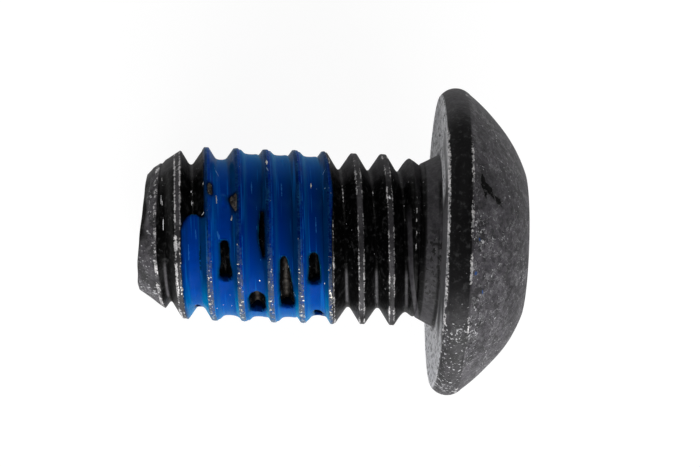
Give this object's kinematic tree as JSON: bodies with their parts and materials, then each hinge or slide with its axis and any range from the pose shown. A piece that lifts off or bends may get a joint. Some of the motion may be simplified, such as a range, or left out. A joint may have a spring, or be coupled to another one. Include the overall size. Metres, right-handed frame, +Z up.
{
  "type": "button head socket screw",
  "caption": "Short black machine screw with a low domed button head, hex socket, coarse metric thread and a blue nylon locking patch on the thread.",
  "frame": {"origin": "on the floor under the middle of the lying screw's box", "axes": "+Z up. The screw lies on its side with its axis in the XZ plane: the tip points towards -X and the head lies towards +X, where its rim lifts the axis by 15.0 degrees"},
  "size_m": [0.0136, 0.0104, 0.0101],
  "materials": {
    "black_oxide_steel": "black oxide over rolled and forged steel, satin, worn bright in specks on the crests and edges",
    "blue_nylon": "sprayed and fused nylon, glossy, thin and scuffed over the thread crests"
  },
  "bodies": {
    "root": {"screw": "black_oxide_steel", "locking_patch": "blue_nylon"}
  },
  "joints": []
}
